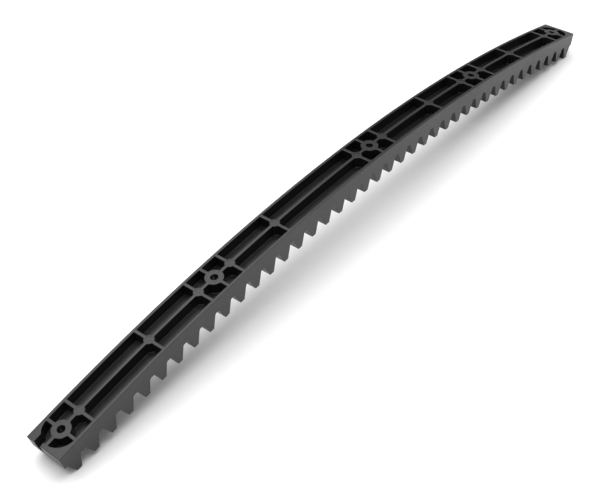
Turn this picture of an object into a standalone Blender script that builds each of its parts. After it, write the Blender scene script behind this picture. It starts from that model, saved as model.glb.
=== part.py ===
"""Curved gear rack: one segment of a large internal gear ring, moulded in one piece.

The ring's axis lies along Y. The teeth are on the inside of the curve and point down,
and the ribbed side, with its pockets and screw bosses, is on the outside, facing up.
The segment stands on the tips of its two end teeth, on the plane z = 0.
Positions along the curve are counted in tooth pitches from the middle of the segment.
"""

import math

import bmesh
import bpy

MM = 0.001

# Tooth form: module 4, 20 degrees, standard depth
MODULE = 4.0 * MM
RING_TEETH = 540
SEGMENT_TEETH = 40
PRESSURE_ANGLE = math.radians(20.0)
DEDENDUM_FACTOR = 1.25
BACKLASH = 0.2 * MM
TIP_ROUND = 0.6 * MM
ROOT_ROUND = 1.2 * MM
ROUND_STEPS = 3

# Section of the segment
FACE_WIDTH = 24.0 * MM
HEIGHT = 18.0 * MM
SIDE_WALL = 1.8 * MM
RIB_THICKNESS = 2.0 * MM
POCKET_DEPTH = 7.0 * MM

# Screw bosses and posts, all standing over tooth spaces
BOSS_PITCHES = (-19, -10, 1, 10, 19)
BOSS_DIAMETER = 11.0 * MM
SCREW_HOLE = 4.3 * MM
HEAD_RECESS = 8.0 * MM
HEAD_RECESS_DEPTH = 3.0 * MM
POST_PITCHES = (-18, -14, -11, -9, -6, 0, 2, 6, 9, 11, 14, 18)
POST_DIAMETER = 6.2 * MM

# Locating slot through the end wall at the -X end
SLOT_WIDTH = 4.6 * MM
SLOT_CENTRE = 4.4 * MM
SLOT_DEPTH = 6.5 * MM

BOSS_SIDES = 32
HOLE_SIDES = 32
POST_SIDES = 28
END_POCKET_SIDES = 64
CLEARANCE = 2.0 * MM

PITCH_ANGLE = 2.0 * math.pi / RING_TEETH
PITCH_RADIUS = 0.5 * MODULE * RING_TEETH
TIP_RADIUS = PITCH_RADIUS - MODULE
ROOT_RADIUS = PITCH_RADIUS + DEDENDUM_FACTOR * MODULE
OUTER_RADIUS = TIP_RADIUS + HEIGHT
FLOOR_RADIUS = OUTER_RADIUS - POCKET_DEPTH
HALF_PITCHES = SEGMENT_TEETH // 2


def polar(radius, angle):
    """Point in the plane of the curve, the ring's axis being at the origin."""
    return radius * math.sin(angle), radius * math.cos(angle)


def flank_half_width(radius):
    """Half the width of a tooth, measured straight across it at this radius."""
    at_pitch = 0.25 * math.pi * MODULE - 0.5 * BACKLASH
    return at_pitch + (radius - PITCH_RADIUS) * math.tan(PRESSURE_ANGLE)


def corner_round(corner, before, after, radius):
    """Points of the arc that rounds one corner of an outline."""
    (cx, cy), (bx, by), (ax, ay) = corner, before, after
    to_before = math.atan2(by - cy, bx - cx)
    to_after = math.atan2(ay - cy, ax - cx)
    opening = (to_after - to_before + math.pi) % (2.0 * math.pi) - math.pi
    bisector = to_before + 0.5 * opening
    reach = radius / abs(math.sin(0.5 * opening))
    centre = cx + reach * math.cos(bisector), cy + reach * math.sin(bisector)
    side = math.copysign(0.5 * math.pi, opening)
    start = to_before - side
    sweep = opening - math.copysign(math.pi, opening)
    points = []
    for step in range(ROUND_STEPS + 1):
        angle = start + sweep * step / ROUND_STEPS
        points.append((centre[0] + radius * math.cos(angle), centre[1] + radius * math.sin(angle)))
    return points


def tooth_outline():
    """One tooth as (across, radius) points, from its left root to its right root."""
    root = flank_half_width(ROOT_RADIUS)
    tip = flank_half_width(TIP_RADIUS)
    left_space = (-0.5 * PITCH_ANGLE * ROOT_RADIUS, ROOT_RADIUS)
    left_root = (-root, ROOT_RADIUS)
    left_tip = (-tip, TIP_RADIUS)
    right_tip = (tip, TIP_RADIUS)
    left_side = corner_round(left_root, left_space, left_tip, ROOT_ROUND)
    left_side += corner_round(left_tip, left_root, right_tip, TIP_ROUND)
    right_side = [(-across, radius) for across, radius in reversed(left_side)]
    return left_side + right_side


def rack_outline():
    """Closed outline of the toothed segment in the plane of the curve."""
    points = [polar(ROOT_RADIUS, -HALF_PITCHES * PITCH_ANGLE)]
    for tooth in range(SEGMENT_TEETH):
        middle = (tooth - HALF_PITCHES + 0.5) * PITCH_ANGLE
        for across, radius in tooth_outline():
            points.append(polar(radius, middle + across / radius))
    points.append(polar(ROOT_RADIUS, HALF_PITCHES * PITCH_ANGLE))
    points += reversed(arc(OUTER_RADIUS, -HALF_PITCHES, HALF_PITCHES))
    return points


def arc(radius, first, last):
    """Points along an arc between two positions, with flats one pitch long over the spaces."""
    inner = [k + 0.5 for k in range(math.ceil(first - 0.5), math.floor(last - 0.5) + 1)]
    stops = [first] + [k for k in inner if first < k < last] + [last]
    return [polar(radius, stop * PITCH_ANGLE) for stop in stops]


def sector_outline(inner, outer, first, last):
    """Closed outline of a piece of a ring between two radii and two positions."""
    return arc(inner, first, last) + list(reversed(arc(outer, first, last)))


def new_collection(name):
    collection = bpy.data.collections.new(name)
    bpy.context.scene.collection.children.link(collection)
    return collection


def prism(name, outline, y_low, y_high, collection):
    """Solid with this outline in the plane of the curve, between two places along Y."""
    curve = bpy.data.curves.new(name, "CURVE")
    curve.dimensions = "2D"
    curve.fill_mode = "BOTH"
    curve.extrude = 0.5 * (y_high - y_low)
    spline = curve.splines.new("POLY")
    spline.points.add(len(outline) - 1)
    for point, (x, z) in zip(spline.points, outline):
        point.co = (x, z, 0.0, 1.0)
    spline.use_cyclic_u = True
    source = bpy.data.objects.new(name + "_outline", curve)
    source.rotation_euler = (0.5 * math.pi, 0.0, 0.0)
    source.location = (0.0, 0.5 * (y_low + y_high), 0.0)
    collection.objects.link(source)
    bpy.context.view_layer.update()
    evaluated = source.evaluated_get(bpy.context.evaluated_depsgraph_get())
    mesh = bpy.data.meshes.new_from_object(evaluated)
    piece = bpy.data.objects.new(name, mesh)
    piece.matrix_world = source.matrix_world
    collection.objects.link(piece)
    bpy.data.objects.remove(source)
    weld(mesh)
    return piece


def weld(mesh):
    """Join the loose caps to the sides and point every face outward."""
    work = bmesh.new()
    work.from_mesh(mesh)
    bmesh.ops.remove_doubles(work, verts=work.verts, dist=0.001 * MM)
    bmesh.ops.recalc_face_normals(work, faces=work.faces)
    work.to_mesh(mesh)
    work.free()


def place_radially(piece, position, radius, y=0.0):
    """Put a solid at a position along the curve, its own Z pointing away from the ring's axis."""
    angle = position * PITCH_ANGLE
    x, z = polar(radius, angle)
    piece.location = (x, y, z)
    piece.rotation_euler = (0.0, angle, 0.0)


def radial_cylinder(name, diameter, sides, inner, outer, position, collection):
    mesh = bpy.data.meshes.new(name)
    work = bmesh.new()
    bmesh.ops.create_cone(
        work, cap_ends=True, segments=sides,
        radius1=0.5 * diameter, radius2=0.5 * diameter, depth=outer - inner,
    )
    work.to_mesh(mesh)
    work.free()
    piece = bpy.data.objects.new(name, mesh)
    collection.objects.link(piece)
    place_radially(piece, position, 0.5 * (inner + outer))
    return piece


def radial_block(name, length, width, inner, outer, position, y, collection):
    """Block of this length along the curve and width along Y, between two radii."""
    mesh = bpy.data.meshes.new(name)
    work = bmesh.new()
    bmesh.ops.create_cube(work, size=1.0)
    bmesh.ops.scale(work, vec=(length, width, outer - inner), verts=work.verts)
    work.to_mesh(mesh)
    work.free()
    piece = bpy.data.objects.new(name, mesh)
    collection.objects.link(piece)
    place_radially(piece, position, 0.5 * (inner + outer), y)
    return piece


def hide(pieces):
    for piece in pieces:
        piece.hide_render = True
        piece.display_type = "WIRE"


def boolean(piece, operation, operand):
    modifier = piece.modifiers.new(operation.lower(), "BOOLEAN")
    modifier.solver = "EXACT"
    modifier.operation = operation
    if isinstance(operand, bpy.types.Collection):
        modifier.operand_type = "COLLECTION"
        modifier.collection = operand
    else:
        modifier.object = operand
    return modifier


def standing_features(collection):
    """Centre rib, cross ribs, bosses and posts: what the pockets leave standing."""
    inner = FLOOR_RADIUS - CLEARANCE
    outer = OUTER_RADIUS + 2.0 * CLEARANCE
    last = HALF_PITCHES + 1
    prism("centre_rib", sector_outline(inner, outer, -last, last),
          -0.5 * RIB_THICKNESS, 0.5 * RIB_THICKNESS, collection)
    for index, position in enumerate(sorted(BOSS_PITCHES + POST_PITCHES), 1):
        radial_block(f"cross_rib_{index:02d}", RIB_THICKNESS, FACE_WIDTH + CLEARANCE,
                     inner, outer, position, 0.0, collection)
    for index, position in enumerate(BOSS_PITCHES, 1):
        radial_cylinder(f"boss_{index}", BOSS_DIAMETER, BOSS_SIDES, inner, outer, position, collection)
    for index, position in enumerate(POST_PITCHES, 1):
        radial_cylinder(f"post_{index:02d}", POST_DIAMETER, POST_SIDES, inner, outer, position, collection)


def pocket_cutter(cutters, standing):
    """Everything that is hollow on the outer side of the segment."""
    half_width = 0.5 * FACE_WIDTH - SIDE_WALL
    outer = OUTER_RADIUS + CLEARANCE
    first, last = BOSS_PITCHES[0], BOSS_PITCHES[-1]
    cutter = prism("pockets", sector_outline(FLOOR_RADIUS, outer, first, last),
                   -half_width, half_width, cutters)
    for name, position in (("end_pocket_near", first), ("end_pocket_far", last)):
        end = radial_cylinder(name, 2.0 * half_width, END_POCKET_SIDES,
                              FLOOR_RADIUS, outer, position, cutters)
        boolean(cutter, "UNION", end)
    boolean(cutter, "DIFFERENCE", standing)
    return cutter


def drilled_features(collection):
    """Screw holes, the recesses for their heads among the teeth, and the locating slot."""
    outer = OUTER_RADIUS + CLEARANCE
    for index, position in enumerate(BOSS_PITCHES, 1):
        radial_cylinder(f"screw_hole_{index}", SCREW_HOLE, HOLE_SIDES,
                        TIP_RADIUS - CLEARANCE, outer, position, collection)
        radial_cylinder(f"head_recess_{index}", HEAD_RECESS, BOSS_SIDES,
                        TIP_RADIUS - 2.0 * CLEARANCE, ROOT_RADIUS + HEAD_RECESS_DEPTH,
                        position, collection)
    end_wall = PITCH_ANGLE * OUTER_RADIUS
    radial_block("locating_slot", end_wall, SLOT_WIDTH, OUTER_RADIUS - SLOT_DEPTH, outer,
                 -HALF_PITCHES, SLOT_CENTRE, collection)


def black_plastic():
    """Satin black engineering plastic."""
    material = bpy.data.materials.new("black_moulded_plastic")
    material.use_nodes = True
    shader = material.node_tree.nodes["Principled BSDF"]
    shader.inputs["Base Color"].default_value = (0.006, 0.006, 0.0065, 1.0)
    shader.inputs["Roughness"].default_value = 0.42
    shader.inputs["Metallic"].default_value = 0.0
    return material


def remove_all():
    for item in list(bpy.data.objects):
        bpy.data.objects.remove(item)


def main():
    remove_all()
    parts = new_collection("curved_gear_rack")
    cutters = new_collection("cutters")
    standing = new_collection("standing_features")
    drilled = new_collection("drilled_features")
    half_width = 0.5 * FACE_WIDTH
    rack = prism("rack_segment", rack_outline(), -half_width, half_width, parts)
    rack.data.materials.append(black_plastic())
    standing_features(standing)
    drilled_features(drilled)
    boolean(rack, "DIFFERENCE", pocket_cutter(cutters, standing))
    boolean(rack, "DIFFERENCE", drilled)
    hide(cutters.objects)
    hide(standing.objects)
    hide(drilled.objects)
    lowest = min(z for x, z in rack_outline())
    for piece in bpy.data.objects:
        piece.location.z -= lowest


main()
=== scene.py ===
"""Looks of the curved gear rack: a one-piece moulding in satin black plastic on a pale floor."""

import math

import bmesh
import bpy
from mathutils import Matrix, Vector


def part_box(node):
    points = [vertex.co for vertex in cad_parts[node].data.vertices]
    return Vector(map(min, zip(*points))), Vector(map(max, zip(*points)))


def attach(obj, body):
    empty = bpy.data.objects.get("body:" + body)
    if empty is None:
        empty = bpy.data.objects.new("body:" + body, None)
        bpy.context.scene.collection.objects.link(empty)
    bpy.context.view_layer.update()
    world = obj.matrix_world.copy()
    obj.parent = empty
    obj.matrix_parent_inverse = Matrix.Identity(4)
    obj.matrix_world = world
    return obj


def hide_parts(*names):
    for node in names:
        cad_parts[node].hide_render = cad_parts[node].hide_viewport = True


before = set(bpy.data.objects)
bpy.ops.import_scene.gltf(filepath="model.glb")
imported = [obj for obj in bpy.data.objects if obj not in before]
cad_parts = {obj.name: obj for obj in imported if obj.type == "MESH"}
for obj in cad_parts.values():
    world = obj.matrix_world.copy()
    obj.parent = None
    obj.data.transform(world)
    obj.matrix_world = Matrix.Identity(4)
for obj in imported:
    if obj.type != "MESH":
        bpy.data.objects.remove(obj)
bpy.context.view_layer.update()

MM = 0.001
NODE = "rack_segment"

# Camera, at the photograph's viewing angle
CAMERA_PLACE = Vector((-0.4264, -0.3195, 0.4329))
CAMERA_TARGET = Vector((-0.0480, 0.0048, 0.0007))
CAMERA_UP = Vector((0.5203, 0.3996, 0.7548))
CAMERA_LENS = 65.05
SENSOR_WIDTH = 36.0
CLIP_START = 0.01
CLIP_END = 50.0

# The ring that the segment belongs to, as in the CAD model
RING_TEETH = 540
PITCH_ANGLE = 2.0 * math.pi / RING_TEETH
OUTER_RADIUS = 1094.0 * MM
POST_PITCHES = (-18, -14, -11, -9, -6, 0, 2, 6, 9, 11, 14, 18)

# Moulding details
WELD_DISTANCE = 0.002 * MM
COPLANAR_ANGLE = math.radians(0.25)
SHARP_ANGLE = math.radians(30.0)
EDGE_ROUND = 0.3 * MM
EDGE_SEGMENTS = 2
PIN_MARK_DIAMETER = 4.2 * MM
PIN_MARK_DEPTH = 0.12 * MM
PIN_MARK_SIDES = 48
PIN_MARK_MARGIN = 0.1 * MM

# Plastic: linear colours, and noise features per metre
PLASTIC_IOR = 1.5
DEEP_BLACK = (0.0036, 0.0036, 0.0039, 1.0)
SOFT_BLACK = (0.0058, 0.0058, 0.0062, 1.0)
SCUFFED_BLACK = (0.012, 0.012, 0.0125, 1.0)
RUBBED_GREY = (0.030, 0.030, 0.031, 1.0)
FLOW_SCALE = 28.0
FLOW_STRETCH = (0.6, 1.6, 1.6)
MOTTLE_SCALE = 420.0
SCUFF_SCALE = 90.0
SCUFF_STRETCH = (1.0, 14.0, 14.0)
SCUFF_RANGE = (0.60, 0.74)
RUBBED_RANGE = (0.40, 0.62)
LEAST_RUBBED = 0.15
NOISE_RANGE = (0.3, 0.7)
ROUGHNESS_RANGE = (0.33, 0.41)
MOTTLE_ROUGHNESS = 0.03
SCUFF_ROUGHNESS = 0.10
RUBBED_GLOSS = 0.06
GRAIN_SCALE = 3200.0
GRAIN_HEIGHT = 0.02 * MM
GRAIN_STRENGTH = 0.25
RIPPLE_SCALE = 70.0
RIPPLE_HEIGHT = 0.25 * MM
RIPPLE_STRENGTH = 0.18

# Studio
FLOOR_HALF_SIZE = 6.0
FLOOR_ROUGHNESS = 0.75
FLOOR_SPECULAR = 0.2
FLOOR_TONES = (0.91, 0.91, 0.91, 1.0), (0.93, 0.93, 0.93, 1.0)
FLOOR_SCALE = 180.0
WORLD_STRENGTH = 0.5
LIGHT_PLACE = (0.0, 0.3, 2.0)
LIGHT_TARGET = (0.0, 0.0, 0.0)
LIGHT_SIDE = 2.5
LIGHT_POWER = 60.0

RACK_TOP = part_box(NODE)[1][2]


def on_ring(position):
    """Place on the outer face, in the rack's frame, this many tooth pitches from its middle."""
    angle = position * PITCH_ANGLE
    drop = OUTER_RADIUS * (1.0 - math.cos(angle))
    return Vector((OUTER_RADIUS * math.sin(angle), 0.0, RACK_TOP - drop))


POST_PLACES = [on_ring(position) for position in POST_PITCHES]


def link(piece):
    bpy.context.scene.collection.objects.link(piece)
    return piece


def plain_copy(node, name):
    """The CAD solid as whole flat faces, without the triangles' inner edges."""
    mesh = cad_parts[node].data.copy()
    mesh.name = name
    mesh.materials.clear()
    work = bmesh.new()
    work.from_mesh(mesh)
    bmesh.ops.remove_doubles(work, verts=work.verts, dist=WELD_DISTANCE)
    bmesh.ops.dissolve_limit(work, angle_limit=COPLANAR_ANGLE, verts=work.verts, edges=work.edges)
    work.to_mesh(mesh)
    work.free()
    return link(bpy.data.objects.new(name, mesh))


def pin_mark_cutters():
    """Shallow discs where the ejector pins pressed on the tops of the posts."""
    work = bmesh.new()
    for position, place in zip(POST_PITCHES, POST_PLACES):
        turn = Matrix.Translation(place) @ Matrix.Rotation(position * PITCH_ANGLE, 4, "Y")
        bmesh.ops.create_cone(
            work, cap_ends=True, segments=PIN_MARK_SIDES, radius1=0.5 * PIN_MARK_DIAMETER,
            radius2=0.5 * PIN_MARK_DIAMETER, depth=2.0 * PIN_MARK_DEPTH, matrix=turn,
        )
    mesh = bpy.data.meshes.new("pin_marks")
    work.to_mesh(mesh)
    work.free()
    return link(bpy.data.objects.new("pin_marks", mesh))


def cut_pin_marks(piece):
    """Cut the marks into the tops of the posts, and keep the cut mesh."""
    cutters = pin_mark_cutters()
    cut = piece.modifiers.new("pin_marks", "BOOLEAN")
    cut.operation = "DIFFERENCE"
    cut.solver = "EXACT"
    cut.object = cutters
    bpy.context.view_layer.update()
    evaluated = piece.evaluated_get(bpy.context.evaluated_depsgraph_get())
    mesh = bpy.data.meshes.new_from_object(evaluated)
    piece.modifiers.clear()
    piece.data = mesh
    bpy.data.objects.remove(cutters)


def in_pin_mark(point):
    """Whether a point lies on one of the ejector pin marks."""
    reach = 0.5 * PIN_MARK_DIAMETER + PIN_MARK_MARGIN
    return any((point - place).length < reach for place in POST_PLACES)


def round_edges(piece):
    """Rounded corners as the mould leaves them, with a wear value of 1 along their middles."""
    work = bmesh.new()
    work.from_mesh(piece.data)
    wear = work.verts.layers.float.new("edge_wear")
    corners = []
    for edge in work.edges:
        if not edge.is_manifold or edge.calc_face_angle() < SHARP_ANGLE:
            continue
        if in_pin_mark(0.5 * (edge.verts[0].co + edge.verts[1].co)):
            edge.smooth = False
        else:
            corners.append(edge)
    made = bmesh.ops.bevel(
        work, geom=corners, offset=EDGE_ROUND, offset_type="OFFSET", segments=EDGE_SEGMENTS,
        profile=0.5, affect="EDGES", clamp_overlap=False,
    )
    strips = set(made["faces"])
    for vertex in made["verts"]:
        if all(face in strips for face in vertex.link_faces):
            vertex[wear] = 1.0
    for face in work.faces:
        face.smooth = True
    work.to_mesh(piece.data)
    work.free()
    shading = piece.modifiers.new("even_shading", "WEIGHTED_NORMAL")
    shading.keep_sharp = True


class Shader:
    """A material's nodes, with short ways to add and join them."""

    def __init__(self, name):
        self.material = bpy.data.materials.new(name)
        self.material.use_nodes = True
        self.tree = self.material.node_tree
        self.surface = self.tree.nodes["Principled BSDF"]
        self.place = self.add("ShaderNodeTexCoord").outputs["Object"]

    def add(self, kind, **settings):
        node = self.tree.nodes.new(kind)
        for key, value in settings.items():
            setattr(node, key, value)
        return node

    def join(self, source, target):
        self.tree.links.new(source, target)

    def noise(self, scale, detail, stretch=(1.0, 1.0, 1.0)):
        mapping = self.add("ShaderNodeMapping")
        mapping.inputs["Scale"].default_value = stretch
        self.join(self.place, mapping.inputs["Vector"])
        noise = self.add("ShaderNodeTexNoise")
        noise.inputs["Scale"].default_value = scale
        noise.inputs["Detail"].default_value = detail
        self.join(mapping.outputs["Vector"], noise.inputs["Vector"])
        return noise.outputs["Fac"]

    def remap(self, value, old_range, new_range=(0.0, 1.0)):
        """The value moved from one range to another, and held inside it."""
        node = self.add("ShaderNodeMapRange")
        node.inputs["From Min"].default_value = old_range[0]
        node.inputs["From Max"].default_value = old_range[1]
        node.inputs["To Min"].default_value = new_range[0]
        node.inputs["To Max"].default_value = new_range[1]
        self.join(value, node.inputs["Value"])
        return node.outputs["Result"]

    def combine(self, operation, first, second):
        """One arithmetic step on two values, each a number or a socket, held between 0 and 1."""
        node = self.add("ShaderNodeMath", operation=operation, use_clamp=True)
        for socket, value in zip(node.inputs, (first, second)):
            if isinstance(value, float):
                socket.default_value = value
            else:
                self.join(value, socket)
        return node.outputs["Value"]

    def blend(self, amount, first, second):
        """Mix of two colours, each a colour or a socket."""
        node = self.add("ShaderNodeMix", data_type="RGBA")
        colours = [socket for socket in node.inputs if socket.type == "RGBA"]
        for socket, value in zip(colours, (first, second)):
            if isinstance(value, tuple):
                socket.default_value = value
            else:
                self.join(value, socket)
        self.join(amount, node.inputs["Factor"])
        return [socket for socket in node.outputs if socket.type == "RGBA"][0]

    def bump(self, height, distance, strength, below=None):
        node = self.add("ShaderNodeBump")
        node.inputs["Strength"].default_value = strength
        node.inputs["Distance"].default_value = distance
        self.join(height, node.inputs["Height"])
        if below is not None:
            self.join(below, node.inputs["Normal"])
        return node.outputs["Normal"]


def black_plastic():
    """Satin black moulded plastic: fine grain, flow marks, light scuffs and rubbed corners."""
    look = Shader("satin_black_plastic")
    surface = look.surface
    surface.inputs["IOR"].default_value = PLASTIC_IOR
    surface.inputs["Metallic"].default_value = 0.0

    flow = look.noise(FLOW_SCALE, 3.0, FLOW_STRETCH)
    mottle = look.noise(MOTTLE_SCALE, 4.0)
    scuffs = look.remap(look.noise(SCUFF_SCALE, 6.0, SCUFF_STRETCH), SCUFF_RANGE)
    wear = look.add("ShaderNodeAttribute", attribute_name="edge_wear").outputs["Fac"]
    patches = look.remap(mottle, RUBBED_RANGE, (LEAST_RUBBED, 1.0))
    rubbed = look.combine("MULTIPLY", wear, patches)

    colour = look.blend(look.remap(flow, NOISE_RANGE), DEEP_BLACK, SOFT_BLACK)
    colour = look.blend(look.combine("MULTIPLY", scuffs, 0.5), colour, SCUFFED_BLACK)
    colour = look.blend(look.combine("MULTIPLY", rubbed, 0.6), colour, RUBBED_GREY)
    look.join(colour, surface.inputs["Base Color"])

    rough = look.remap(flow, NOISE_RANGE, ROUGHNESS_RANGE)
    uneven = look.remap(mottle, NOISE_RANGE, (-MOTTLE_ROUGHNESS, MOTTLE_ROUGHNESS))
    rough = look.combine("ADD", rough, uneven)
    rough = look.combine("ADD", rough, look.combine("MULTIPLY", scuffs, SCUFF_ROUGHNESS))
    rough = look.combine("SUBTRACT", rough, look.combine("MULTIPLY", rubbed, RUBBED_GLOSS))
    look.join(rough, surface.inputs["Roughness"])

    grain = look.bump(look.noise(GRAIN_SCALE, 3.0), GRAIN_HEIGHT, GRAIN_STRENGTH)
    ripple = look.bump(look.noise(RIPPLE_SCALE, 2.0), RIPPLE_HEIGHT, RIPPLE_STRENGTH, grain)
    look.join(ripple, surface.inputs["Normal"])
    return look.material


def make_rack():
    """The visible moulding, in place of the CAD node."""
    rack = plain_copy(NODE, "gear_rack_moulding")
    cut_pin_marks(rack)
    round_edges(rack)
    rack.data.materials.clear()
    rack.data.materials.append(black_plastic())
    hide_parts(NODE)
    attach(rack, "root")


def make_camera():
    camera = bpy.data.cameras.new("camera")
    camera.lens = CAMERA_LENS
    camera.sensor_width = SENSOR_WIDTH
    camera.clip_start = CLIP_START
    camera.clip_end = CLIP_END
    holder = link(bpy.data.objects.new("camera", camera))
    back = (CAMERA_PLACE - CAMERA_TARGET).normalized()
    right = CAMERA_UP.cross(back).normalized()
    turn = Matrix((right, back.cross(right), back)).transposed()
    holder.matrix_world = Matrix.Translation(CAMERA_PLACE) @ turn.to_4x4()
    bpy.context.scene.camera = holder


def make_floor():
    look = Shader("pale_floor")
    look.surface.inputs["Roughness"].default_value = FLOOR_ROUGHNESS
    look.surface.inputs["Specular IOR Level"].default_value = FLOOR_SPECULAR
    paper = look.blend(look.noise(FLOOR_SCALE, 3.0), *FLOOR_TONES)
    look.join(paper, look.surface.inputs["Base Color"])
    mesh = bpy.data.meshes.new("floor")
    work = bmesh.new()
    bmesh.ops.create_grid(work, x_segments=1, y_segments=1, size=FLOOR_HALF_SIZE)
    work.to_mesh(mesh)
    work.free()
    mesh.materials.append(look.material)
    floor = link(bpy.data.objects.new("floor", mesh))


def make_world():
    world = bpy.data.worlds.new("studio")
    world.use_nodes = True
    background = world.node_tree.nodes["Background"]
    background.inputs["Color"].default_value = (1.0, 1.0, 1.0, 1.0)
    background.inputs["Strength"].default_value = WORLD_STRENGTH
    bpy.context.scene.world = world


def make_light():
    """One large square softbox overhead."""
    light = bpy.data.lights.new("overhead", "AREA")
    light.shape = "SQUARE"
    light.size = LIGHT_SIDE
    light.energy = LIGHT_POWER
    holder = link(bpy.data.objects.new("overhead", light))
    holder.location = LIGHT_PLACE
    aim = Vector(LIGHT_TARGET) - Vector(LIGHT_PLACE)
    holder.rotation_euler = aim.to_track_quat("-Z", "Y").to_euler()


bpy.context.scene.view_settings.view_transform = "Standard"
make_camera()
make_rack()
make_floor()
make_world()
make_light()
